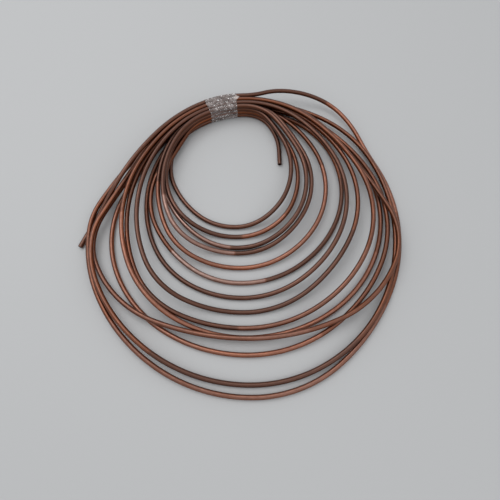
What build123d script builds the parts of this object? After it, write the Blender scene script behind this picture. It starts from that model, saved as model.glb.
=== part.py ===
from build123d import *
import os
from math import degrees, sqrt

# A coil of soft copper tube, opened out like a fan on a level floor. All its turns pass side by side
# through one tape band at the back and spread apart towards the front.
# Millimetres. The origin lies on the floor, +X to the right, +Y to the back, +Z up.

# Tube: quarter inch refrigeration copper.
TUBE_DIAMETER = 6.35
TUBE_WALL = 0.8
STRAND_GAP = 0.3
PITCH = TUBE_DIAMETER + STRAND_GAP

# Tape band that ties the strands together.
TAPE_WIDTH = 48.0
TAPE_THICKNESS = 0.45
TAPE_CLEARANCE = 0.25

# Bundle inside the band: four columns side by side, the innermost first, four strands high; the last one
# leaves its lowest layer empty. Each column lists the layers that its strands take, in winding order.
COLUMNS = ((0, 2, 1, 3), (2, 1, 0, 3), (2, 3, 0, 1), (2, 1, 3))
ROWS = 4
BEND_RADIUS = 140.0
BAND_X = -30.0
BAND_Y = 197.2
BAND_TURN = 15.0
BAND_LEAD = 10.0
COLUMN_LEAD = 4.0

# Fan, from the inside out, measured from the middle of the band: sideways, and forward from it. Each
# turn has a waist on the left and one on the right (sideways, forward, radius of the bend there) and a
# front (forward). The outermost turns bend more tightly behind their left waist, with a fourth value.
REACH = (
    ((-74, 97, 86), (102, 108, 109), 198),
    ((-77, 114, 112), (112, 118, 117), 213),
    ((-79, 124, 89), (122, 130, 114), 229),
    ((-79, 128, 152), (130, 129, 112), 237),
    ((-87, 130, 176), (151, 132, 130), 258),
    ((-97, 152, 108), (175, 133, 139), 279),
    ((-104, 152, 175), (176, 153, 144), 299),
    ((-111, 170, 197), (193, 153, 144), 318),
    ((-125, 179, 205), (210, 175, 146), 338),
    ((-130, 181, 191), (226, 171, 174), 350),
    ((-147, 203, 150), (232, 184, 162), 371),
    ((-168, 220, 79, 93), (242, 212, 96), 352),
    ((-168, 221, 136, 81), (241, 192, 240), 406),
    ((-176, 203.5, 197, 93), (248, 193, 222), 420),
)
FRONT_SIDEWAYS = 22.0
FRONT_STEP = 1.8
WAIST_SWING = 25

# The one turn that is wide and shallow: it lies on top of its neighbours along the front.
WIDE_TURN = 11
WIDE_LAYER = 1.3

# The last turn lies low at its right waist, then springs out at the back right and climbs onto the bundle:
# the waist's layer, two points of that loop with headings and layers, and how close to the tape it joins.
LOOP_WAIST = 0.25
LOOP = (((183, 11), (-0.69, 0.96), 1.25), ((96, -25.5), (-0.82, 0.05), 2.75))
LOOP_LEAD = 9.0

# Free ends: tip, heading and straight length. The outer end comes off the top of the bundle and reaches
# the floor outside all the turns, by way of one point with its heading and layer.
OUTER_WAY = ((-124, 102.5), (-0.55, -1), 3.5)
INNER_TIP = (87, 96)
INNER_HEADING = (-0.02, 1.0)
OUTER_TIP = (-188, 228)
OUTER_HEADING = (-0.36, -0.93)
END_STRAIGHT = 24.0

BUNDLE_LIFT = TAPE_THICKNESS + TAPE_CLEARANCE
BAND_AXIS = Vector(BAND_X, BAND_Y) - Vector(0, BEND_RADIUS).rotate(Axis.Z, BAND_TURN)


def layer_height(layer):
    return TUBE_DIAMETER / 2 + layer * PITCH


def spot(sideways, forward, height):
    """A point measured from the middle of the band."""
    return Vector(BAND_X + sideways, BAND_Y - forward, height)


def station(place, heading, layer):
    """A point of the route with its heading."""
    return spot(*place, layer_height(layer)), Vector(*heading).normalized()


def bundle_pass(number, side):
    """Place and heading of one strand where it leaves (1) or joins (-1) the run through the band."""
    column, place = divmod(number, ROWS)
    radius = BEND_RADIUS + (column - (len(COLUMNS) - 1) / 2) * PITCH
    lead = BAND_LEAD + COLUMN_LEAD * column
    if number == len(REACH) and side == -1:
        lead = LOOP_LEAD
    swing = side * degrees((TAPE_WIDTH / 2 + lead) / BEND_RADIUS)
    spoke = Vector(0, radius).rotate(Axis.Z, BAND_TURN + swing)
    height = BUNDLE_LIFT + layer_height(COLUMNS[column][place])
    return BAND_AXIS + spoke + Vector(0, 0, height), Vector(-1, 0).rotate(Axis.Z, BAND_TURN + swing)


def waist(height, sideways, forward, radius, back_radius=None):
    """Stations of the round bend at one side of a turn. Behind the waist it may have a radius of its own."""
    side = 1 if sideways > 0 else -1
    arcs = [(radius, -WAIST_SWING), (radius, WAIST_SWING)]
    if back_radius:
        arcs = [(back_radius, -WAIST_SWING), (radius, 0), (radius, WAIST_SWING)]
    stations = []
    for arc_radius, swing in arcs:
        middle = spot(sideways - side * arc_radius, forward, height)
        spoke = Vector(side * arc_radius, 0).rotate(Axis.Z, swing)
        stations.append((middle + spoke, Vector(0, side).rotate(Axis.Z, swing)))
    return stations


def bend(start, end):
    """Two tangent arcs that join one station to the next."""
    (start_point, start_heading), (end_point, end_heading) = start, end
    gap = end_point - start_point
    headings = start_heading + end_heading
    a = 4 - headings.dot(headings)
    b = 2 * gap.dot(headings)
    c = gap.dot(gap)
    reach = (sqrt(b * b + 4 * a * c) - b) / (2 * a)
    first = start_point + start_heading * reach
    second = end_point - end_heading * reach
    middle = (first + second) / 2
    TangentArc(start_point, middle, tangent=start_heading)
    TangentArc(middle, end_point, tangent=second - first)


def turn_stations(number):
    """Stations of one turn, from the pass where it leaves the band to the pass where it returns."""
    left, right, front = REACH[number]
    leaves = bundle_pass(number, 1)
    returns = bundle_pass(number + 1, -1)
    front_height = layer_height(WIDE_LAYER if number == WIDE_TURN else 0)
    front_point = spot(FRONT_SIDEWAYS + FRONT_STEP * number, front, front_height)
    stations = [leaves]
    stations += waist(leaves[0].Z, *left)
    stations.append((front_point, Vector(1, 0)))
    if number == len(REACH) - 1:
        stations += waist(layer_height(LOOP_WAIST), *right)
        stations += [station(*point) for point in LOOP]
    else:
        stations += waist(returns[0].Z, *right)
    stations.append(returns)
    return stations


BAND_HALF = degrees(TAPE_WIDTH / 2 / BEND_RADIUS)

inner_heading = Vector(*INNER_HEADING).normalized()
outer_heading = Vector(*OUTER_HEADING).normalized()
inner_start = bundle_pass(0, -1)
outer_finish = bundle_pass(len(REACH), 1)
inner_tip = spot(*INNER_TIP, inner_start[0].Z)
outer_tip = spot(*OUTER_TIP, layer_height(0))
inner_bend = inner_tip + inner_heading * END_STRAIGHT
outer_bend = outer_tip - outer_heading * END_STRAIGHT

with BuildLine() as route:
    Line(inner_tip, inner_bend)
    stations = [(inner_bend, inner_heading), inner_start]
    for number in range(len(REACH)):
        stations += turn_stations(number)
    stations += [outer_finish, station(*OUTER_WAY), (outer_bend, outer_heading)]
    for start, end in zip(stations, stations[1:]):
        bend(start, end)
    Line(outer_bend, outer_tip)

with BuildPart() as copper_tube:
    with BuildSketch(Plane(origin=inner_tip, z_dir=inner_heading)):
        Circle(TUBE_DIAMETER / 2)
        Circle(TUBE_DIAMETER / 2 - TUBE_WALL, mode=Mode.SUBTRACT)
    sweep(path=route.wires()[0])

# Tape band: one closed sleeve, bent about the bundle's axis, with corners that follow the outer strands.
inner_width = len(COLUMNS) * PITCH - STRAND_GAP + 2 * TAPE_CLEARANCE
inner_height = ROWS * PITCH - STRAND_GAP + 2 * TAPE_CLEARANCE
corner = TUBE_DIAMETER / 2 + TAPE_CLEARANCE
band_start = Plane(
    origin=BAND_AXIS + Vector(0, 0, BUNDLE_LIFT - TAPE_CLEARANCE + inner_height / 2),
    x_dir=Vector(0, 1).rotate(Axis.Z, BAND_TURN - BAND_HALF),
    z_dir=Vector(-1, 0).rotate(Axis.Z, BAND_TURN - BAND_HALF),
)

with BuildPart() as tape_wrap:
    with BuildSketch(band_start):
        with Locations((BEND_RADIUS, 0)):
            RectangleRounded(inner_width + 2 * TAPE_THICKNESS, inner_height + 2 * TAPE_THICKNESS,
                             corner + TAPE_THICKNESS)
            RectangleRounded(inner_width, inner_height, corner, mode=Mode.SUBTRACT)
    revolve(axis=Axis(BAND_AXIS, (0, 0, 1)), revolution_arc=2 * BAND_HALF)

print("tube length", round(route.wires()[0].length), "volume", round(copper_tube.part.volume))

os.makedirs("parts", exist_ok=True)
copper_tube.part.label = "copper_tube"
export_step(copper_tube.part, "parts/copper_tube.step")
tape_wrap.part.label = "tape_wrap"
export_step(tape_wrap.part, "parts/tape_wrap.step")
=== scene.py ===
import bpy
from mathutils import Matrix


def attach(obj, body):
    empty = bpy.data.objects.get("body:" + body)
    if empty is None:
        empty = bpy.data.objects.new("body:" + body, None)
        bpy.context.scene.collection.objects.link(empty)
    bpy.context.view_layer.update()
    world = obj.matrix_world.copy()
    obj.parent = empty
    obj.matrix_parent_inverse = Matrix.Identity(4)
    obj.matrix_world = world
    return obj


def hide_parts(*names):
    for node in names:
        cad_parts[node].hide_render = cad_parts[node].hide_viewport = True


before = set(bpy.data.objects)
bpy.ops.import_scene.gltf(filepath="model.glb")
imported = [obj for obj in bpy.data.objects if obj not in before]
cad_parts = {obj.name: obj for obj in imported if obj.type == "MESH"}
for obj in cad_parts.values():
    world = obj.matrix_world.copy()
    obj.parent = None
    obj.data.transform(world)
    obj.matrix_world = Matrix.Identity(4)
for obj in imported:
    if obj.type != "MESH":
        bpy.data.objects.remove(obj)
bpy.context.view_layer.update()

from bisect import bisect
from math import cos, pi, radians, sin, sqrt, tan

import bpy
from bpy.props import FloatProperty, FloatVectorProperty, IntProperty, PointerProperty
from bpy.types import Operator, Panel, PropertyGroup
from mathutils import Vector, noise

bl_info = {
    "name": "Copper Tube Coil",
    "version": (1, 0, 0),
    "blender": (4, 5, 0),
    "location": "3D View > Sidebar > Coil",
    "description": "Winds a fanned coil of soft copper tube, tapes it and sets its stage",
    "category": "Add Mesh",
}

MM = 0.001


# Colours and nodes

def srgb(code):
    """Turns a hex colour such as 7D523F into linear RGBA."""
    values = [int(code[i:i + 2], 16) / 255 for i in (0, 2, 4)]
    return tuple(v / 12.92 if v <= 0.04045 else ((v + 0.055) / 1.055) ** 2.4 for v in values) + (1.0,)


def node(tree, kind, inputs=None, **settings):
    """Adds a node. Inputs take a value, or the output socket that feeds them."""
    made = tree.nodes.new(kind)
    for name, value in settings.items():
        setattr(made, name, value)
    for key, value in (inputs or {}).items():
        if isinstance(value, bpy.types.NodeSocket):
            tree.links.new(value, made.inputs[key])
        else:
            made.inputs[key].default_value = value
    return made


def new_material(name):
    material = bpy.data.materials.new(name)
    material.use_nodes = True
    material.node_tree.nodes.clear()
    return material, material.node_tree


def ramp(tree, factor, stops):
    """A grey ramp between two stops, each a place and a value."""
    made = node(tree, "ShaderNodeValToRGB", {"Fac": factor})
    for element, (place, grey) in zip(made.color_ramp.elements, stops):
        element.position = place
        element.color = (grey, grey, grey, 1.0)
    return made.outputs["Color"]


def mix(tree, factor, first, second, blend="MIX"):
    """Blends two colours, each a value or a socket."""
    made = node(tree, "ShaderNodeMix", data_type="RGBA", blend_type=blend)
    for socket, value in ((made.inputs[0], factor), (made.inputs[6], first), (made.inputs[7], second)):
        if isinstance(value, bpy.types.NodeSocket):
            tree.links.new(value, socket)
        else:
            socket.default_value = value
    return made.outputs[2]


# Settings

class CoilTubeSettings(PropertyGroup):
    diameter: FloatProperty(name="Outside diameter", description="Outside diameter of the tube",
                            default=6.35 * MM, unit="LENGTH", subtype="DISTANCE")
    wall: FloatProperty(name="Wall", description="Wall thickness of the tube",
                        default=0.8 * MM, unit="LENGTH", subtype="DISTANCE")
    bore_depth: FloatProperty(name="Bore depth", description="How deep the open ends are hollow",
                              default=22 * MM, unit="LENGTH", subtype="DISTANCE")
    sides: IntProperty(name="Sides", description="Faces round the tube", default=16, min=8)
    step: FloatProperty(name="Ring spacing", description="Distance between rings of faces along the tube",
                        default=3.4 * MM, unit="LENGTH", subtype="DISTANCE")
    dull: FloatVectorProperty(name="Dull copper", description="Colour of handled, air-dulled copper",
                              size=4, subtype="COLOR", default=srgb("7D523F"))
    # Pale bloom is a painted reflection of bright room light; dark oxide is partly real oxide and partly
    # painted reflection and shade.
    pale: FloatVectorProperty(name="Pale bloom", description="Colour of stretches under a pinkish bloom",
                              size=4, subtype="COLOR", default=srgb("A4867B"))
    dark: FloatVectorProperty(name="Dark oxide", description="Colour of the darker oxidised stretches",
                              size=4, subtype="COLOR", default=srgb("5E3F31"))
    brown: FloatVectorProperty(name="Warm oxide", description="Colour of warmer brown stretches",
                               size=4, subtype="COLOR", default=srgb("7B431F"))
    fresh: FloatVectorProperty(name="Fresh copper", description="Colour of rubbed, brighter stretches",
                               size=4, subtype="COLOR", default=srgb("A06345"))


class CoilTapeSettings(PropertyGroup):
    film: FloatProperty(name="Film thickness", description="Thickness of one layer of film",
                        default=0.08 * MM, unit="LENGTH", subtype="DISTANCE")
    rumple: FloatProperty(name="Rumple", description="Height of the film's rumples",
                          default=0.14 * MM, unit="LENGTH", subtype="DISTANCE")
    sag: FloatProperty(name="Sag", description="How far the film sinks between two strands",
                       default=0.22 * MM, unit="LENGTH", subtype="DISTANCE")
    teeth: FloatProperty(name="Teeth", description="Depth of the saw edge at the end of the tape",
                         default=0.5 * MM, unit="LENGTH", subtype="DISTANCE")
    steps: IntProperty(name="Steps across", description="Faces across the width of the tape",
                       default=96, min=8)
    tint: FloatVectorProperty(name="Tape tint", description="Colour of the film",
                              size=4, subtype="COLOR", default=srgb("B5AAA7"))


class CoilStageSettings(PropertyGroup):
    floor: FloatVectorProperty(name="Floor", description="Colour of the floor",
                               size=4, subtype="COLOR", default=srgb("BBBCBD"))
    eye_height: FloatProperty(name="Camera height", description="Height of the camera above the floor",
                              default=508 * MM, unit="LENGTH", subtype="DISTANCE")
    eye_pitch: FloatProperty(name="Camera pitch", description="How far the camera looks below the horizon",
                             default=radians(68.5), unit="ROTATION", subtype="ANGLE")


# Route of the tube: the same stations and arcs as its solid, in metres

ROWS = 4
COLUMNS = ((0, 2, 1, 3), (2, 1, 0, 3), (2, 3, 0, 1), (2, 1, 3))
STRAND_GAP = 0.3 * MM
TAPE_THICKNESS = 0.45 * MM
TAPE_CLEARANCE = 0.25 * MM
TAPE_WIDTH = 48 * MM
BEND_RADIUS = 140 * MM
BAND_X, BAND_Y, BAND_TURN = -30 * MM, 197.2 * MM, radians(15)
BAND_LEAD = 10 * MM
COLUMN_LEAD = 4 * MM
REACH = (
    ((-74, 97, 86), (102, 108, 109), 198),
    ((-77, 114, 112), (112, 118, 117), 213),
    ((-79, 124, 89), (122, 130, 114), 229),
    ((-79, 128, 152), (130, 129, 112), 237),
    ((-87, 130, 176), (151, 132, 130), 258),
    ((-97, 152, 108), (175, 133, 139), 279),
    ((-104, 152, 175), (176, 153, 144), 299),
    ((-111, 170, 197), (193, 153, 144), 318),
    ((-125, 179, 205), (210, 175, 146), 338),
    ((-130, 181, 191), (226, 171, 174), 350),
    ((-147, 203, 150), (232, 184, 162), 371),
    ((-168, 220, 79, 93), (242, 212, 96), 352),
    ((-168, 221, 136, 81), (241, 192, 240), 406),
    ((-176, 203.5, 197, 93), (248, 193, 222), 420),
)
FRONT_SIDEWAYS = 22.0
FRONT_STEP = 1.8
WAIST_SWING = radians(25)
WIDE_TURN = 11
WIDE_LAYER = 1.3
LOOP_WAIST = 0.25
LOOP = (((183, 11), (-0.69, 0.96), 1.25), ((96, -25.5), (-0.82, 0.05), 2.75))
LOOP_LEAD = 9 * MM
OUTER_WAY = ((-124, 102.5), (-0.55, -1), 3.5)
INNER_TIP, INNER_HEADING = (87, 96), (-0.02, 1.0)
OUTER_TIP, OUTER_HEADING = (-188, 228), (-0.36, -0.93)
END_STRAIGHT = 24 * MM
# How far the cutter's rolled lip sticks out past the last ring of faces.
LIP = 0.4 * MM
# An arc that turns less than this is drawn straight.
LEAST_TURN = 1e-4
BUNDLE_LIFT = TAPE_THICKNESS + TAPE_CLEARANCE


def turned(x, y, angle):
    return Vector((x * cos(angle) - y * sin(angle), x * sin(angle) + y * cos(angle), 0))


def spot(sideways, forward, z):
    """A point measured from the middle of the band, in millimetres sideways and forward."""
    return Vector((BAND_X + sideways * MM, BAND_Y - forward * MM, z))


BAND_AXIS = Vector((BAND_X, BAND_Y, 0)) - turned(0, BEND_RADIUS, BAND_TURN)


class Route:
    """The centre line of the tube as points at an even step."""

    def __init__(self, diameter, step):
        self.diameter = diameter
        self.pitch = diameter + STRAND_GAP
        self.step = step
        self.points = []

    def height(self, layer):
        return self.diameter / 2 + layer * self.pitch

    def station(self, place, heading, layer):
        """A point of the route with its heading."""
        return spot(*place, self.height(layer)), Vector((*heading, 0)).normalized()

    def bundle_pass(self, number, side):
        """Place and heading of one strand where it leaves (1) or joins (-1) the run through the band."""
        column, place = divmod(number, ROWS)
        radius = BEND_RADIUS + (column - (len(COLUMNS) - 1) / 2) * self.pitch
        lead = LOOP_LEAD if number == len(REACH) and side == -1 else BAND_LEAD + COLUMN_LEAD * column
        swing = side * (TAPE_WIDTH / 2 + lead) / BEND_RADIUS
        at = BAND_AXIS + turned(0, radius, BAND_TURN + swing)
        at.z = BUNDLE_LIFT + self.height(COLUMNS[column][place])
        return at, turned(-1, 0, BAND_TURN + swing)

    def waist(self, z, sideways, forward, radius, back_radius=None):
        """Stations of the round bend at one side of a turn. Behind it the bend may have its own radius."""
        side = 1 if sideways > 0 else -1
        arcs = [(radius, -WAIST_SWING), (radius, WAIST_SWING)]
        if back_radius:
            arcs = [(back_radius, -WAIST_SWING), (radius, 0), (radius, WAIST_SWING)]
        return [(spot(sideways - side * arc_radius, forward, z) + turned(side * arc_radius * MM, 0, swing),
                 turned(0, side, swing)) for arc_radius, swing in arcs]

    def straight(self, start, end):
        """Points at the step from start up to, but without, the end."""
        count = max(1, round((end - start).length / self.step))
        self.points += [start.lerp(end, i / count) for i in range(count)]

    def arc(self, start, corner, end):
        """Points on the arc that touches both lines of a corner, without its end."""
        leaving, arriving = (corner - start).normalized(), (end - corner).normalized()
        turn = leaving.angle(arriving)
        if turn < LEAST_TURN:
            self.straight(start, end)
            return
        radius = (corner - start).length / tan(turn / 2)
        across = (arriving - leaving * cos(turn)) / sin(turn)
        count = max(1, round(radius * turn / self.step))
        for i in range(count):
            angle = turn * i / count
            self.points.append(start + leaving * radius * sin(angle) + across * radius * (1 - cos(angle)))

    def bend(self, start, end):
        """Two tangent arcs that join one station to the next."""
        (start_point, start_heading), (end_point, end_heading) = start, end
        gap = end_point - start_point
        headings = start_heading + end_heading
        a = 4 - headings.dot(headings)
        b = 2 * gap.dot(headings)
        reach = (sqrt(b * b + 4 * a * gap.dot(gap)) - b) / (2 * a)
        first = start_point + start_heading * reach
        second = end_point - end_heading * reach
        middle = (first + second) / 2
        self.arc(start_point, first, middle)
        self.arc(middle, second, end_point)

    def turn(self, number):
        """Stations of one turn, from where it leaves the band to where it returns."""
        left, right, front = REACH[number]
        leaves, returns = self.bundle_pass(number, 1), self.bundle_pass(number + 1, -1)
        z = self.height(WIDE_LAYER if number == WIDE_TURN else 0)
        stations = [leaves] + self.waist(leaves[0].z, *left)
        stations.append((spot(FRONT_SIDEWAYS + FRONT_STEP * number, front, z), Vector((1, 0, 0))))
        if number == len(REACH) - 1:
            stations += self.waist(self.height(LOOP_WAIST), *right)
            stations += [self.station(*point) for point in LOOP]
        else:
            stations += self.waist(returns[0].z, *right)
        return stations + [returns]

    def wind(self):
        """All points, from the inner end to the outer one."""
        inner_heading = Vector((*INNER_HEADING, 0)).normalized()
        outer_heading = Vector((*OUTER_HEADING, 0)).normalized()
        inner_start, outer_finish = self.bundle_pass(0, -1), self.bundle_pass(len(REACH), 1)
        inner_tip = spot(*INNER_TIP, inner_start[0].z)
        outer_tip = spot(*OUTER_TIP, self.height(0))
        stations = [(inner_tip + inner_heading * END_STRAIGHT, inner_heading), inner_start]
        for number in range(len(REACH)):
            stations += self.turn(number)
        stations += [outer_finish, self.station(*OUTER_WAY),
                     (outer_tip - outer_heading * END_STRAIGHT, outer_heading)]
        self.straight(inner_tip + inner_heading * LIP, stations[0][0])
        for start, end in zip(stations, stations[1:]):
            self.bend(start, end)
        last = outer_tip - outer_heading * LIP
        self.straight(stations[-1][0], last)
        self.points.append(last)
        return self.points


# Copper

# How bright and how warm the metal looks in each kind of stretch. The pale kinds paint reflections of bright
# room light, and the dark kind partly paints reflections of darker room parts.
LOOKS = {
    "dark": (0.0, 0.12),
    "dull": (0.5, 0.25),
    "pale": (1.0, 0.0),
    "palest": (1.4, 0.0),
    "brown": (0.1, 0.9),
    "warm": (0.6, 1.0),
}
# Where each longer stretch begins, as a share of the tube's length from the inner end.
STRETCHES = (
    (0.00, "dark"), (0.075, "warm"), (0.08, "brown"), (0.11, "pale"), (0.12, "dark"), (0.16, "pale"),
    (0.17, "dark"), (0.21, "warm"), (0.24, "brown"), (0.275, "palest"), (0.28, "pale"), (0.285, "dark"),
    (0.30, "brown"), (0.335, "dark"), (0.43, "brown"), (0.48, "dark"), (0.49, "dull"), (0.505, "brown"),
    (0.55, "warm"), (0.585, "brown"), (0.63, "warm"), (0.66, "brown"), (0.72, "dull"), (0.745, "brown"),
    (0.82, "dark"), (0.84, "brown"), (0.91, "dull"), (0.94, "brown"), (0.95, "warm"), (0.965, "dark"),
)
# Painted shade: within the first distance from the tape the strands are darkened most, as if shaded by their
# crowded neighbours, and past the second not at all.
FULL_SHADE_REACH, SHADE_REACH = 60 * MM, 190 * MM
SHARP_ANGLE = radians(40)


def store_stretch_looks(mesh):
    """Stores on each point how bright and how warm the copper of its stretch is; the brightness is partly
    painted reflection.
    """
    places = [0.0] * (3 * len(mesh.vertices))
    mesh.attributes["tube_place"].data.foreach_get("vector", places)
    lengths = places[::3]
    total = max(lengths)
    starts = [start for start, look in STRETCHES]
    looks = []
    for length in lengths:
        look = STRETCHES[bisect(starts, length / total) - 1][1]
        looks += (*LOOKS[look], 0.0)
    mesh.attributes.new("tube_stretch_look", "FLOAT_VECTOR", "POINT").data.foreach_set("vector", looks)


def copper_material(settings):
    """Soft annealed copper tube, drawn and then dulled in a workshop: a satin metal, dark brown where it has
    oxidised and orange where it has rubbed on other turns, with a painted pinkish-grey sheen on pale
    stretches and tube tops, and painted shade where the strands crowd at the tape."""
    material, tree = new_material("dulled drawn copper")
    place = node(tree, "ShaderNodeAttribute", attribute_name="tube_place").outputs["Vector"]
    along, across, down = node(tree, "ShaderNodeSeparateXYZ", {0: place}).outputs

    def scaled(value, factor, shift=0.0):
        made = node(tree, "ShaderNodeMath", {0: value, 1: factor, 2: shift}, operation="MULTIPLY_ADD")
        return made.outputs[0]

    def share(value, start, end):
        """How far a value has come from start to end, from 0 to 1."""
        made = node(tree, "ShaderNodeMapRange", {"Value": value, "From Min": start, "From Max": end})
        return made.outputs["Result"]

    def tube_noise(per_metre, per_radius, detail=2.0, shift=0.0):
        """Noise in the tube's own place: waves per metre of its length, and across its section."""
        spread = node(tree, "ShaderNodeCombineXYZ", {
            0: scaled(along, per_metre, shift), 1: scaled(across, per_radius), 2: scaled(down, per_radius)})
        return node(tree, "ShaderNodeTexNoise", {"Vector": spread.outputs[0], "Scale": 1.0, "Detail": detail,
                                                 "Roughness": 0.55}).outputs["Fac"]

    # Stretches that end abruptly: partly oxide that hands, clamps and neighbours kept the air off or rubbed
    # away, and partly painted reflections, pale where the tube mirrors bright room light and dark where it
    # mirrors darker room parts.
    stretch_look = node(tree, "ShaderNodeAttribute", attribute_name="tube_stretch_look").outputs["Vector"]
    bright, warm, _ = node(tree, "ShaderNodeSeparateXYZ", {0: stretch_look}).outputs
    # Mottling about 30 mm long.
    mottled = tube_noise(34.0, 0.9, 4.0, 60.0)
    # Turns that aged a little more or less than their neighbours, over about 450 mm.
    turns = ramp(tree, tube_noise(2.2, 0.1, 2.0, 13.0), ((0.40, 0.0), (0.60, 1.0)))
    # Streaks 20 to 80 mm long down one side, where turns slid on each other or on a bench.
    rubbed = ramp(tree, tube_noise(13.0, 0.8, 4.0, 90.0), ((0.46, 0.0), (0.62, 1.0)))
    # Finger marks and water spots, 3 to 8 mm wide.
    spots = ramp(tree, tube_noise(170.0, 1.1, 4.0, 7.0), ((0.38, 0.0), (0.66, 1.0)))
    # Lines from the drawing die, drawn a little coarser than they are to show.
    die_lines = tube_noise(5.0, 9.0, 2.0)

    # Painted shade: the strands crowded together near the tape are darkened, and the turns further out keep
    # their full tone.
    band = Vector((BAND_X, BAND_Y, 0))
    at = node(tree, "ShaderNodeTexCoord").outputs["Object"]
    spread = node(tree, "ShaderNodeVectorMath", {0: at, 1: band}, operation="DISTANCE").outputs["Value"]
    bundle_shade = node(tree, "ShaderNodeMapRange", {"Value": spread, "From Min": FULL_SHADE_REACH, "From Max": SHADE_REACH,
                                             "To Min": 0.55, "To Max": 1.0}).outputs["Result"]
    brightness = scaled(mottled, 0.5, scaled(turns, 0.3, scaled(bright, 1.0, -0.4)))
    tone = node(tree, "ShaderNodeMath", {0: brightness, 1: bundle_shade}, operation="MULTIPLY").outputs[0]

    colour = mix(tree, share(tone, 0.0, 0.5), settings.dark, settings.dull)
    colour = mix(tree, share(tone, 0.5, 1.2), colour, settings.pale)
    warm_colour = mix(tree, share(tone, 0.0, 0.6), settings.brown, settings.fresh)
    warmth = node(tree, "ShaderNodeMath", {0: warm, 1: scaled(rubbed, 0.5, 0.5)}, operation="MULTIPLY")
    colour = mix(tree, warmth.outputs[0], colour, warm_colour)
    # Painted sheen: the top of the tube is made paler and greyer as a highlight of the light above, while its
    # flanks are left a more saturated red.
    top = share(down, -0.35, -0.95)
    colour = node(tree, "ShaderNodeHueSaturation", {
        "Color": colour, "Saturation": scaled(top, -0.4, 1.28),
        "Value": scaled(top, 0.12, 0.96)}).outputs[0]
    colour = mix(tree, scaled(spots, 0.25), colour, srgb("4A332D"))
    colour = mix(tree, scaled(die_lines, 0.5), colour, srgb("9C7466"), "SOFT_LIGHT")
    roughness = node(tree, "ShaderNodeMapRange", {"Value": scaled(rubbed, -0.6, scaled(spots, 0.4, 0.5)),
                                                  "To Min": 0.34, "To Max": 0.52}).outputs["Result"]
    bump = node(tree, "ShaderNodeBump", {"Strength": 0.25, "Distance": 0.04 * MM,
                                         "Height": scaled(die_lines, 1.0, scaled(spots, 0.4))})
    shader = node(tree, "ShaderNodeBsdfPrincipled", {
        "Base Color": colour, "Metallic": 1.0, "Roughness": roughness, "Normal": bump.outputs["Normal"],
        "Coat Weight": 0.42, "Coat Roughness": 0.2})
    node(tree, "ShaderNodeOutputMaterial", {"Surface": shader.outputs[0]})
    return material


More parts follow.
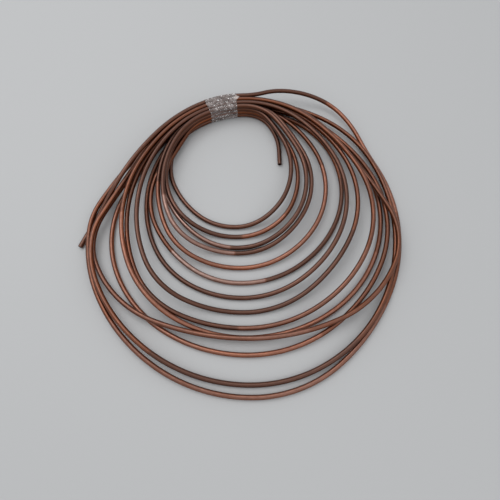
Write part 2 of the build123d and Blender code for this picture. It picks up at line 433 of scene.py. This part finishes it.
def tube_tree():
    """Geometry nodes that sweep a tube with open, cutter-rolled ends along a curve."""
    tree = bpy.data.node_groups.new("tube sweep", "GeometryNodeTree")
    face = tree.interface
    face.new_socket("Geometry", in_out="INPUT", socket_type="NodeSocketGeometry")
    for name, kind in (("Outside Diameter", "Float"), ("Wall", "Float"), ("Bore Depth", "Float"),
                       ("Sides", "Int"), ("Material", "Material")):
        face.new_socket(name, in_out="INPUT", socket_type="NodeSocket" + kind)
    face.new_socket("Geometry", in_out="OUTPUT", socket_type="NodeSocketGeometry")
    given = node(tree, "NodeGroupInput").outputs

    def maths(operation, first, second):
        return node(tree, "ShaderNodeMath", {0: first, 1: second}, operation=operation).outputs[0]

    radius = maths("MULTIPLY", given["Outside Diameter"], 0.5)
    bore = maths("SUBTRACT", radius, given["Wall"])
    ring = node(tree, "GeometryNodeCurvePrimitiveCircle", {"Resolution": given["Sides"], "Radius": radius})
    ring_place = node(tree, "GeometryNodeCaptureAttribute", {"Geometry": ring.outputs["Curve"]})
    ring_place.capture_items.new("VECTOR", "Round")
    ring_point = node(tree, "GeometryNodeInputPosition").outputs[0]
    ring_direction = node(tree, "ShaderNodeVectorMath", {0: ring_point}, operation="NORMALIZE").outputs[0]
    tree.links.new(ring_direction, ring_place.inputs["Round"])
    path = node(tree, "GeometryNodeCaptureAttribute", {"Geometry": given["Geometry"]})
    path.capture_items.new("FLOAT", "Length")
    tree.links.new(node(tree, "GeometryNodeSplineParameter").outputs["Length"], path.inputs["Length"])
    sweep = node(tree, "GeometryNodeCurveToMesh", {
        "Curve": path.outputs["Geometry"], "Profile Curve": ring_place.outputs["Geometry"],
        "Fill Caps": True})
    around = node(tree, "ShaderNodeSeparateXYZ", {0: ring_place.outputs["Round"]})
    tube_place = node(tree, "ShaderNodeCombineXYZ", {
        0: path.outputs["Length"], 1: around.outputs[0], 2: around.outputs[1]})
    mesh = node(tree, "GeometryNodeStoreNamedAttribute", {
        "Geometry": sweep.outputs[0], "Name": "tube_place", "Value": tube_place.outputs[0]},
        data_type="FLOAT_VECTOR", domain="POINT").outputs[0]
    ends = node(tree, "FunctionNodeCompare", {
        2: node(tree, "GeometryNodeCornersOfFace").outputs["Total"], 3: 4},
        data_type="INT", operation="GREATER_THAN").outputs[0]
    bore_share = maths("DIVIDE", bore, radius)
    # The wheel of a tube cutter rolls the lip inwards and leaves a small burr in the bore. Each step pushes
    # the end along the tube, then makes it narrower or wider. The first two together are LIP.
    for push, spread in ((0.22 * MM, 0.985), (0.18 * MM, 0.945), (0.0, maths("MULTIPLY", bore_share, 0.99)),
                         (-0.5 * MM, 1.07), (maths("MULTIPLY", given["Bore Depth"], -1.0), 1.0)):
        extrude = node(tree, "GeometryNodeExtrudeMesh", {
            "Mesh": mesh, "Selection": ends, "Offset Scale": push, "Individual": True}, mode="FACES")
        scale = node(tree, "GeometryNodeScaleElements", {
            "Geometry": extrude.outputs["Mesh"], "Selection": extrude.outputs["Top"], "Scale": spread},
            domain="FACE")
        mesh, ends = scale.outputs[0], extrude.outputs["Top"]
    soft = node(tree, "GeometryNodeSetShadeSmooth", {"Geometry": mesh, "Shade Smooth": True}, domain="FACE")
    steep = node(tree, "FunctionNodeCompare", {
        0: node(tree, "GeometryNodeInputMeshEdgeAngle").outputs["Unsigned Angle"], 1: SHARP_ANGLE},
        data_type="FLOAT", operation="GREATER_THAN")
    sharp = node(tree, "GeometryNodeSetShadeSmooth", {
        "Geometry": soft.outputs[0], "Selection": steep.outputs[0], "Shade Smooth": False}, domain="EDGE")
    real = node(tree, "GeometryNodeRealizeInstances", {"Geometry": sharp.outputs[0]})
    painted = node(tree, "GeometryNodeSetMaterial", {
        "Geometry": real.outputs[0], "Material": given["Material"]})
    node(tree, "NodeGroupOutput", {0: painted.outputs[0]})
    return tree


def plain_mesh(name, source):
    """A new object with the evaluated mesh of source, which is removed."""
    graph = bpy.context.evaluated_depsgraph_get()
    mesh = bpy.data.meshes.new_from_object(source.evaluated_get(graph))
    mesh.name = name
    made = bpy.data.objects.new(name, mesh)
    bpy.context.collection.objects.link(made)
    bpy.data.objects.remove(source)
    return made


class COIL_OT_tube(Operator):
    """Winds the copper tube along its route"""
    bl_idname = "coil.wind_tube"
    bl_label = "Wind Copper Tube"

    def execute(self, context):
        settings = context.scene.coil_tube
        points = Route(settings.diameter, settings.step).wind()
        curve = bpy.data.curves.new("tube route", "CURVE")
        curve.dimensions = "3D"
        curve.twist_mode = "Z_UP"
        spline = curve.splines.new("POLY")
        spline.points.add(len(points) - 1)
        for point, at in zip(spline.points, points):
            point.co = (*at, 1)
        route = bpy.data.objects.new("tube route", curve)
        context.collection.objects.link(route)
        modifier = route.modifiers.new("tube sweep", "NODES")
        tree = tube_tree()
        modifier.node_group = tree
        values = {
            "Outside Diameter": settings.diameter,
            "Wall": settings.wall,
            "Bore Depth": settings.bore_depth,
            "Sides": settings.sides,
            "Material": copper_material(settings),
        }
        for item in tree.interface.items_tree:
            if item.in_out == "INPUT" and item.name in values:
                modifier[item.identifier] = values[item.name]
        tube = plain_mesh("copper_tube_skin", route)
        store_stretch_looks(tube.data)
        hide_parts("copper_tube")
        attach(tube, "root")
        return {"FINISHED"}


# Tape

# Two layers: the inner one runs all the way round the bundle, the outer one starts under it and ends on top.
# Rows of points round the bundle, height over the strands, and a number that gives each its own rumples.
INNER_ROWS, INNER_LIFT, INNER_DRIFT = 220, 0.27 * MM, 0.0
OUTER_ROWS, OUTER_LIFT, OUTER_DRIFT = 150, 0.48 * MM, 5.0
# Where the outer layer starts, as a share of the girth, and where its end and its loose corner lie, as shares
# of the bundle's flat top.
OUTER_START, OUTER_END, FLAP = -0.62, 0.62, 0.3
# The film's width when it is taut, how far its edges wander, and the outer share of the width that wanders.
FILM_WIDTH = TAPE_WIDTH - 2.6 * MM
WANDER = 0.9 * MM
WANDER_SHARE = 0.25
# The loose corner: its length round the bundle, how far it sticks out sideways and how far it stands up.
FLAP_LENGTH, FLAP_REACH, FLAP_LIFT = 5 * MM, 5.5 * MM, 0.9 * MM
# The cut end lifts this much over the last tenth of the outer layer.
END_LIFT, END_SHARE = 0.12 * MM, 0.1
# Teeth of the cutter: steps across the width for each.
TOOTH_STEPS = 4
# Waves per metre of the wandering edges.
WANDER_WAVES = 110
# A direction with more than this along an axis belongs to a flat side of the bundle.
FLAT_SIDE = 0.99


def tape_material(settings):
    """Clear packing tape wound several times: a thin glossy film, greyed by its adhesive and by crinkles that
    run along the tubes, with white glints on top of the strands."""
    material, tree = new_material("crinkled clear tape")
    place = node(tree, "ShaderNodeAttribute", attribute_name="tape_place").outputs["Vector"]

    def film_noise(run, around, detail, distortion=0.0):
        spread = node(tree, "ShaderNodeVectorMath", {0: place, 1: (run, around, 3.0)}, operation="MULTIPLY")
        return node(tree, "ShaderNodeTexNoise", {"Vector": spread.outputs[0], "Scale": 1.0, "Detail": detail,
                                                 "Roughness": 0.6, "Distortion": distortion}).outputs["Fac"]

    # Crinkles 1 to 2 mm apart that run with the tubes, over cloudy patches of adhesive 5 to 10 mm wide.
    crinkles = film_noise(110.0, 620.0, 3.0, 0.6)
    cloudy = ramp(tree, film_noise(120.0, 150.0, 2.0), ((0.36, 0.0), (0.64, 1.0)))
    cells = node(tree, "ShaderNodeTexVoronoi", {"Vector": place, "Scale": 300.0},
                 feature="DISTANCE_TO_EDGE").outputs["Distance"]
    # Glints 1 to 2 mm wide where the film stretches over the top of a strand, none in the grooves.
    gap = node(tree, "ShaderNodeAttribute", attribute_name="tape_gap").outputs["Fac"]
    dots = node(tree, "ShaderNodeTexVoronoi", {"Vector": place, "Scale": 400.0})
    chosen = ramp(tree, dots.outputs["Color"], ((0.40, 0.0), (0.44, 1.0)))
    small = ramp(tree, dots.outputs["Distance"], ((0.21, 1.0), (0.34, 0.0)))
    glints = node(tree, "ShaderNodeMath", {0: chosen, 1: small}, operation="MULTIPLY").outputs[0]
    glints = node(tree, "ShaderNodeMath", {0: glints, 1: ramp(tree, gap, ((0.25, 1.0), (0.60, 0.0)))},
                  operation="MULTIPLY").outputs[0]
    pale = ramp(tree, crinkles, ((0.54, 0.0), (0.72, 1.0)))

    colour = mix(tree, cloudy, srgb("786D6A"), settings.tint)
    colour = mix(tree, pale, colour, srgb("BFB5B3"))
    colour = mix(tree, glints, colour, srgb("FCFBFC"))
    # Film that has let go of the strands traps air, so it looks whiter.
    loose = ramp(tree, node(tree, "ShaderNodeAttribute", attribute_name="tape_loose").outputs["Fac"],
                 ((0.05, 0.0), (0.35, 1.0)))
    colour = mix(tree, loose, colour, srgb("D6CBC6"))
    # The film is clearest in the grooves and whitest in its glints.
    alpha = node(tree, "ShaderNodeMapRange", {
        "Value": cloudy, "To Min": 0.22, "To Max": 0.42}).outputs["Result"]
    for share, weight in ((loose, 0.16), (pale, 0.20), (glints, 0.85), (gap, -0.12)):
        alpha = node(tree, "ShaderNodeMath", {0: share, 1: weight, 2: alpha}, operation="MULTIPLY_ADD",
                     use_clamp=True).outputs[0]
    relief = node(tree, "ShaderNodeMath", {0: cells, 1: 0.8, 2: crinkles}, operation="MULTIPLY_ADD")
    bump = node(tree, "ShaderNodeBump", {"Strength": 0.8, "Distance": 0.3 * MM, "Height": relief.outputs[0]})
    shader = node(tree, "ShaderNodeBsdfPrincipled", {
        "Base Color": colour, "Roughness": 0.2, "IOR": 1.49, "Alpha": alpha,
        "Normal": bump.outputs["Normal"]})
    node(tree, "ShaderNodeOutputMaterial", {"Surface": shader.outputs[0]})
    return material


def band_outline(at, half_width, half_height, corner):
    """A point at a distance round a rounded rectangle, with its outward direction."""
    straight_x, straight_y = 2 * (half_width - corner), 2 * (half_height - corner)
    quarter = corner * pi / 2
    at %= 2 * (straight_x + straight_y + 2 * quarter)
    sides = ((straight_x, Vector((half_width - corner, half_height)), Vector((-1, 0))),
             (straight_y, Vector((-half_width, half_height - corner)), Vector((0, -1))),
             (straight_x, Vector((corner - half_width, -half_height)), Vector((1, 0))),
             (straight_y, Vector((half_width, corner - half_height)), Vector((0, 1))))
    for length, start, heading in sides:
        outward = Vector((heading.y, -heading.x))
        if at <= length:
            return start + heading * at, outward
        at -= length
        if at <= quarter:
            angle = at / corner
            pivot = start + heading * length - outward * corner
            direction = outward * cos(angle) + heading * sin(angle)
            return pivot + direction * corner, direction
        at -= quarter
    return sides[0][1], Vector((0, 1))


class Film:
    """Layers of tape round the bundle, as rows of points across the tape's width."""

    def __init__(self, settings, diameter):
        pitch = diameter + STRAND_GAP
        self.settings = settings
        self.pitch = pitch
        self.half_width = (len(COLUMNS) * pitch - STRAND_GAP) / 2
        self.half_height = (ROWS * pitch - STRAND_GAP) / 2
        self.corner = diameter / 2
        self.girth = 4 * (self.half_width + self.half_height) - 8 * self.corner + 2 * pi * self.corner
        self.vertices, self.places, self.looseness, self.gaps, self.faces = [], [], [], [], []

    def gap(self, flat, outward):
        """How near a point is to the groove between two strands: 0 on top of a strand, 1 in the groove."""
        if abs(outward.y) > FLAT_SIDE:
            return 0.5 + 0.5 * cos(2 * pi * flat.x / self.pitch + pi * (len(COLUMNS) % 2))
        if abs(outward.x) > FLAT_SIDE:
            return 0.5 + 0.5 * cos(2 * pi * flat.y / self.pitch + pi * (ROWS % 2))
        return 0.0

    def rumple(self, flat, run, drift):
        """Height of the film's rumples, which are 4 to 6 mm wide with finer ones on them."""
        broad = noise.noise(Vector((flat.x * 260 + drift, flat.y * 260, run * 170)))
        fine = noise.noise(Vector((flat.x * 650, flat.y * 650 + drift, run * 300)))
        return self.settings.rumple * (0.7 * broad + 0.4 * fine)

    def point(self, around, run, lift, drift):
        """One point: lift is its height over the strands, drift picks its own rumples."""
        flat, outward = band_outline(around, self.half_width, self.half_height, self.corner)
        push = lift + self.rumple(flat, run, drift)
        gap = self.gap(flat, outward)
        push -= self.settings.sag * gap
        # Under the bundle the film stays clear of the floor.
        if outward.y < -0.5:
            push = min(push, TAPE_CLEARANCE)
        flat += outward * push
        at = BAND_AXIS + turned(0, BEND_RADIUS + flat.x, BAND_TURN + run / BEND_RADIUS)
        at.z = BUNDLE_LIFT + self.half_height + flat.y
        return at, gap

    def add_layer(self, start, end, rows, lift, drift, flap=None):
        """A layer from one distance round the bundle to another. A closed layer spans the whole girth."""
        steps = self.settings.steps
        first = len(self.vertices)
        closed = flap is None
        for i in range(rows if closed else rows + 1):
            share = i / rows
            for j in range(steps + 1):
                across = j / steps
                edge = max(0.0, abs(across - 0.5) * 2 - (1 - WANDER_SHARE)) / WANDER_SHARE
                around = start + (end - start) * share
                seed = 3.0 if across > 0.5 else 9.0
                ragged = noise.noise(Vector((around * WANDER_WAVES, seed + drift, 0.5)))
                run = (across - 0.5) * FILM_WIDTH + ragged * WANDER * edge
                height, loose = lift, 0.0
                if not closed:
                    # The cutter's teeth along the last row, and the corner that has come loose.
                    tooth = abs(j % TOOTH_STEPS - TOOTH_STEPS / 2) - 1
                    around += self.settings.teeth * tooth * max(0.0, share * rows - rows + 1)
                    height += END_LIFT * max(0.0, share - (1 - END_SHARE)) / END_SHARE
                    if across < 0.5:
                        loose = max(0.0, 1 - abs(around - flap) / FLAP_LENGTH) * edge
                        run -= FLAP_REACH * loose
                        height += FLAP_LIFT * loose * loose
                at, gap = self.point(around, run, height, drift)
                self.vertices.append(at)
                self.gaps.append(gap)
                self.places.append((run, around, drift))
                self.looseness.append(loose)
        row = steps + 1
        for i in range(rows):
            a = first + i * row
            b = first + ((i + 1) % rows if closed else i + 1) * row
            for j in range(steps):
                self.faces.append((a + j, b + j, b + j + 1, a + j + 1))


class COIL_OT_tape(Operator):
    """Wraps the crinkled clear tape round the strands"""
    bl_idname = "coil.wrap_tape"
    bl_label = "Wrap Tape Band"

    def execute(self, context):
        settings = context.scene.coil_tape
        film = Film(settings, context.scene.coil_tube.diameter)
        film.add_layer(0.0, film.girth, INNER_ROWS, INNER_LIFT, INNER_DRIFT)
        top = 2 * (film.half_width - film.corner)
        film.add_layer(OUTER_START * film.girth, OUTER_END * top, OUTER_ROWS, OUTER_LIFT, OUTER_DRIFT,
                       flap=FLAP * top)
        mesh = bpy.data.meshes.new("tape layers")
        mesh.from_pydata(film.vertices, [], film.faces)
        mesh.shade_smooth()
        place = mesh.attributes.new("tape_place", "FLOAT_VECTOR", "POINT")
        place.data.foreach_set("vector", [value for at in film.places for value in at])
        mesh.attributes.new("tape_loose", "FLOAT", "POINT").data.foreach_set("value", film.looseness)
        mesh.attributes.new("tape_gap", "FLOAT", "POINT").data.foreach_set("value", film.gaps)
        mesh.materials.append(tape_material(settings))
        sheet = bpy.data.objects.new("tape layers", mesh)
        context.collection.objects.link(sheet)
        solidify = sheet.modifiers.new("film", "SOLIDIFY")
        solidify.thickness = settings.film
        solidify.offset = 0.0
        sheet = plain_mesh("tape_wrap_film", sheet)
        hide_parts("tape_wrap")
        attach(sheet, "root")
        return {"FINISHED"}


# Stage

# Half the floor's side, in metres.
FLOOR_REACH = 6.0
# Name, place and side in metres, and power in watts of each lamp. Both look at the middle of the floor.
LAMPS = (
    ("key", (-0.65, 0.6, 1.7), 1.4, 13.0),
    ("fill", (1.0, -0.8, 1.7), 1.8, 4.5),
)
CAMERA_X, CAMERA_Y = 13 * MM, -233.8 * MM
# Blender takes both of these in millimetres.
SENSOR, LENS = 36, 28.8


class COIL_OT_stage(Operator):
    """Sets the floor, the lamps, the world and the camera"""
    bl_idname = "coil.set_stage"
    bl_label = "Set Stage"

    def execute(self, context):
        settings = context.scene.coil_stage
        scene = context.scene
        mesh = bpy.data.meshes.new("floor")
        corners = [(-1, -1), (1, -1), (1, 1), (-1, 1)]
        mesh.from_pydata([(x * FLOOR_REACH, y * FLOOR_REACH, 0) for x, y in corners], [], [(0, 1, 2, 3)])
        ground = bpy.data.objects.new("floor", mesh)
        context.collection.objects.link(ground)
        # Matt, so it takes soft shadows and mirrors nothing.
        material, tree = new_material("matt pale floor")
        shader = node(tree, "ShaderNodeBsdfPrincipled", {"Base Color": settings.floor, "Roughness": 0.6})
        node(tree, "ShaderNodeOutputMaterial", {"Surface": shader.outputs[0]})
        mesh.materials.append(material)

        for name, place, size, power in LAMPS:
            lamp = bpy.data.lights.new(name, "AREA")
            lamp.shape = "SQUARE"
            lamp.size = size
            lamp.energy = power
            holder = bpy.data.objects.new(name, lamp)
            holder.location = place
            holder.rotation_euler = Vector(place).to_track_quat("Z", "Y").to_euler()
            context.collection.objects.link(holder)

        world = bpy.data.worlds.new("soft studio")
        world.use_nodes = True
        world.node_tree.nodes.clear()
        sky = node(world.node_tree, "ShaderNodeBackground", {"Color": srgb("DEDFE0"), "Strength": 0.9})
        node(world.node_tree, "ShaderNodeOutputWorld", {"Surface": sky.outputs[0]})
        scene.world = world

        camera = bpy.data.cameras.new("camera")
        camera.sensor_width = SENSOR
        camera.lens = LENS
        holder = bpy.data.objects.new("camera", camera)
        holder.location = (CAMERA_X, CAMERA_Y, settings.eye_height)
        holder.rotation_euler = (pi / 2 - settings.eye_pitch, 0, 0)
        context.collection.objects.link(holder)
        scene.camera = holder
        scene.view_settings.view_transform = "Standard"
        return {"FINISHED"}


class COIL_PT_sidebar(Panel):
    """Lists the coil's pieces and their settings"""
    bl_idname = "COIL_PT_sidebar"
    bl_label = "Copper Tube Coil"
    bl_space_type = "VIEW_3D"
    bl_region_type = "UI"
    bl_category = "Coil"

    def draw(self, context):
        scene = context.scene
        for settings, operator in ((scene.coil_tube, COIL_OT_tube), (scene.coil_tape, COIL_OT_tape),
                                   (scene.coil_stage, COIL_OT_stage)):
            box = self.layout.box()
            for name in settings.__annotations__:
                box.prop(settings, name)
            box.operator(operator.bl_idname)


CLASSES = (CoilTubeSettings, CoilTapeSettings, CoilStageSettings, COIL_OT_tube, COIL_OT_tape, COIL_OT_stage,
           COIL_PT_sidebar)


def register():
    for item in CLASSES:
        bpy.utils.register_class(item)
    bpy.types.Scene.coil_tube = PointerProperty(type=CoilTubeSettings)
    bpy.types.Scene.coil_tape = PointerProperty(type=CoilTapeSettings)
    bpy.types.Scene.coil_stage = PointerProperty(type=CoilStageSettings)


def unregister():
    del bpy.types.Scene.coil_stage
    del bpy.types.Scene.coil_tape
    del bpy.types.Scene.coil_tube
    for item in reversed(CLASSES):
        bpy.utils.unregister_class(item)


def main():
    register()
    bpy.ops.coil.wind_tube()
    bpy.ops.coil.wrap_tape()
    bpy.ops.coil.set_stage()


if __name__ == "__main__":
    main()
